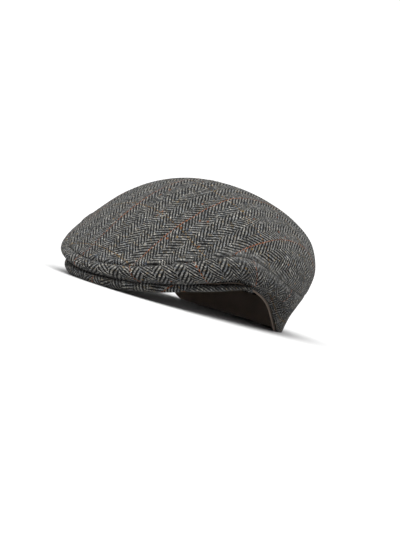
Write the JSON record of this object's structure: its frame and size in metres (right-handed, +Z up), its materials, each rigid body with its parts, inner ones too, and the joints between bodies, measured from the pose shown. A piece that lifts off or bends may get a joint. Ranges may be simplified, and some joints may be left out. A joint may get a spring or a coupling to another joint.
{
  "type": "flat cap",
  "caption": "Soft wool tweed flat cap with a one-piece domed crown sewn down over a short rounded peak, slack side folds and a thin sweatband, for wearing on the head.",
  "frame": {"origin": "centre of the cap's footprint, on the floor that it rests on", "axes": "+Z up, the peak points to -Y, the wearer's left is +X"},
  "size_m": [0.2234, 0.2564, 0.1229],
  "materials": {
    "tweed": "grey herringbone wool tweed with rust window-pane lines",
    "sweatband": "smooth taupe grosgrain"
  },
  "bodies": {
    "root": {"top_panel": "tweed", "side_panel": "tweed", "peak": "tweed", "sweatband": "sweatband"}
  },
  "joints": []
}
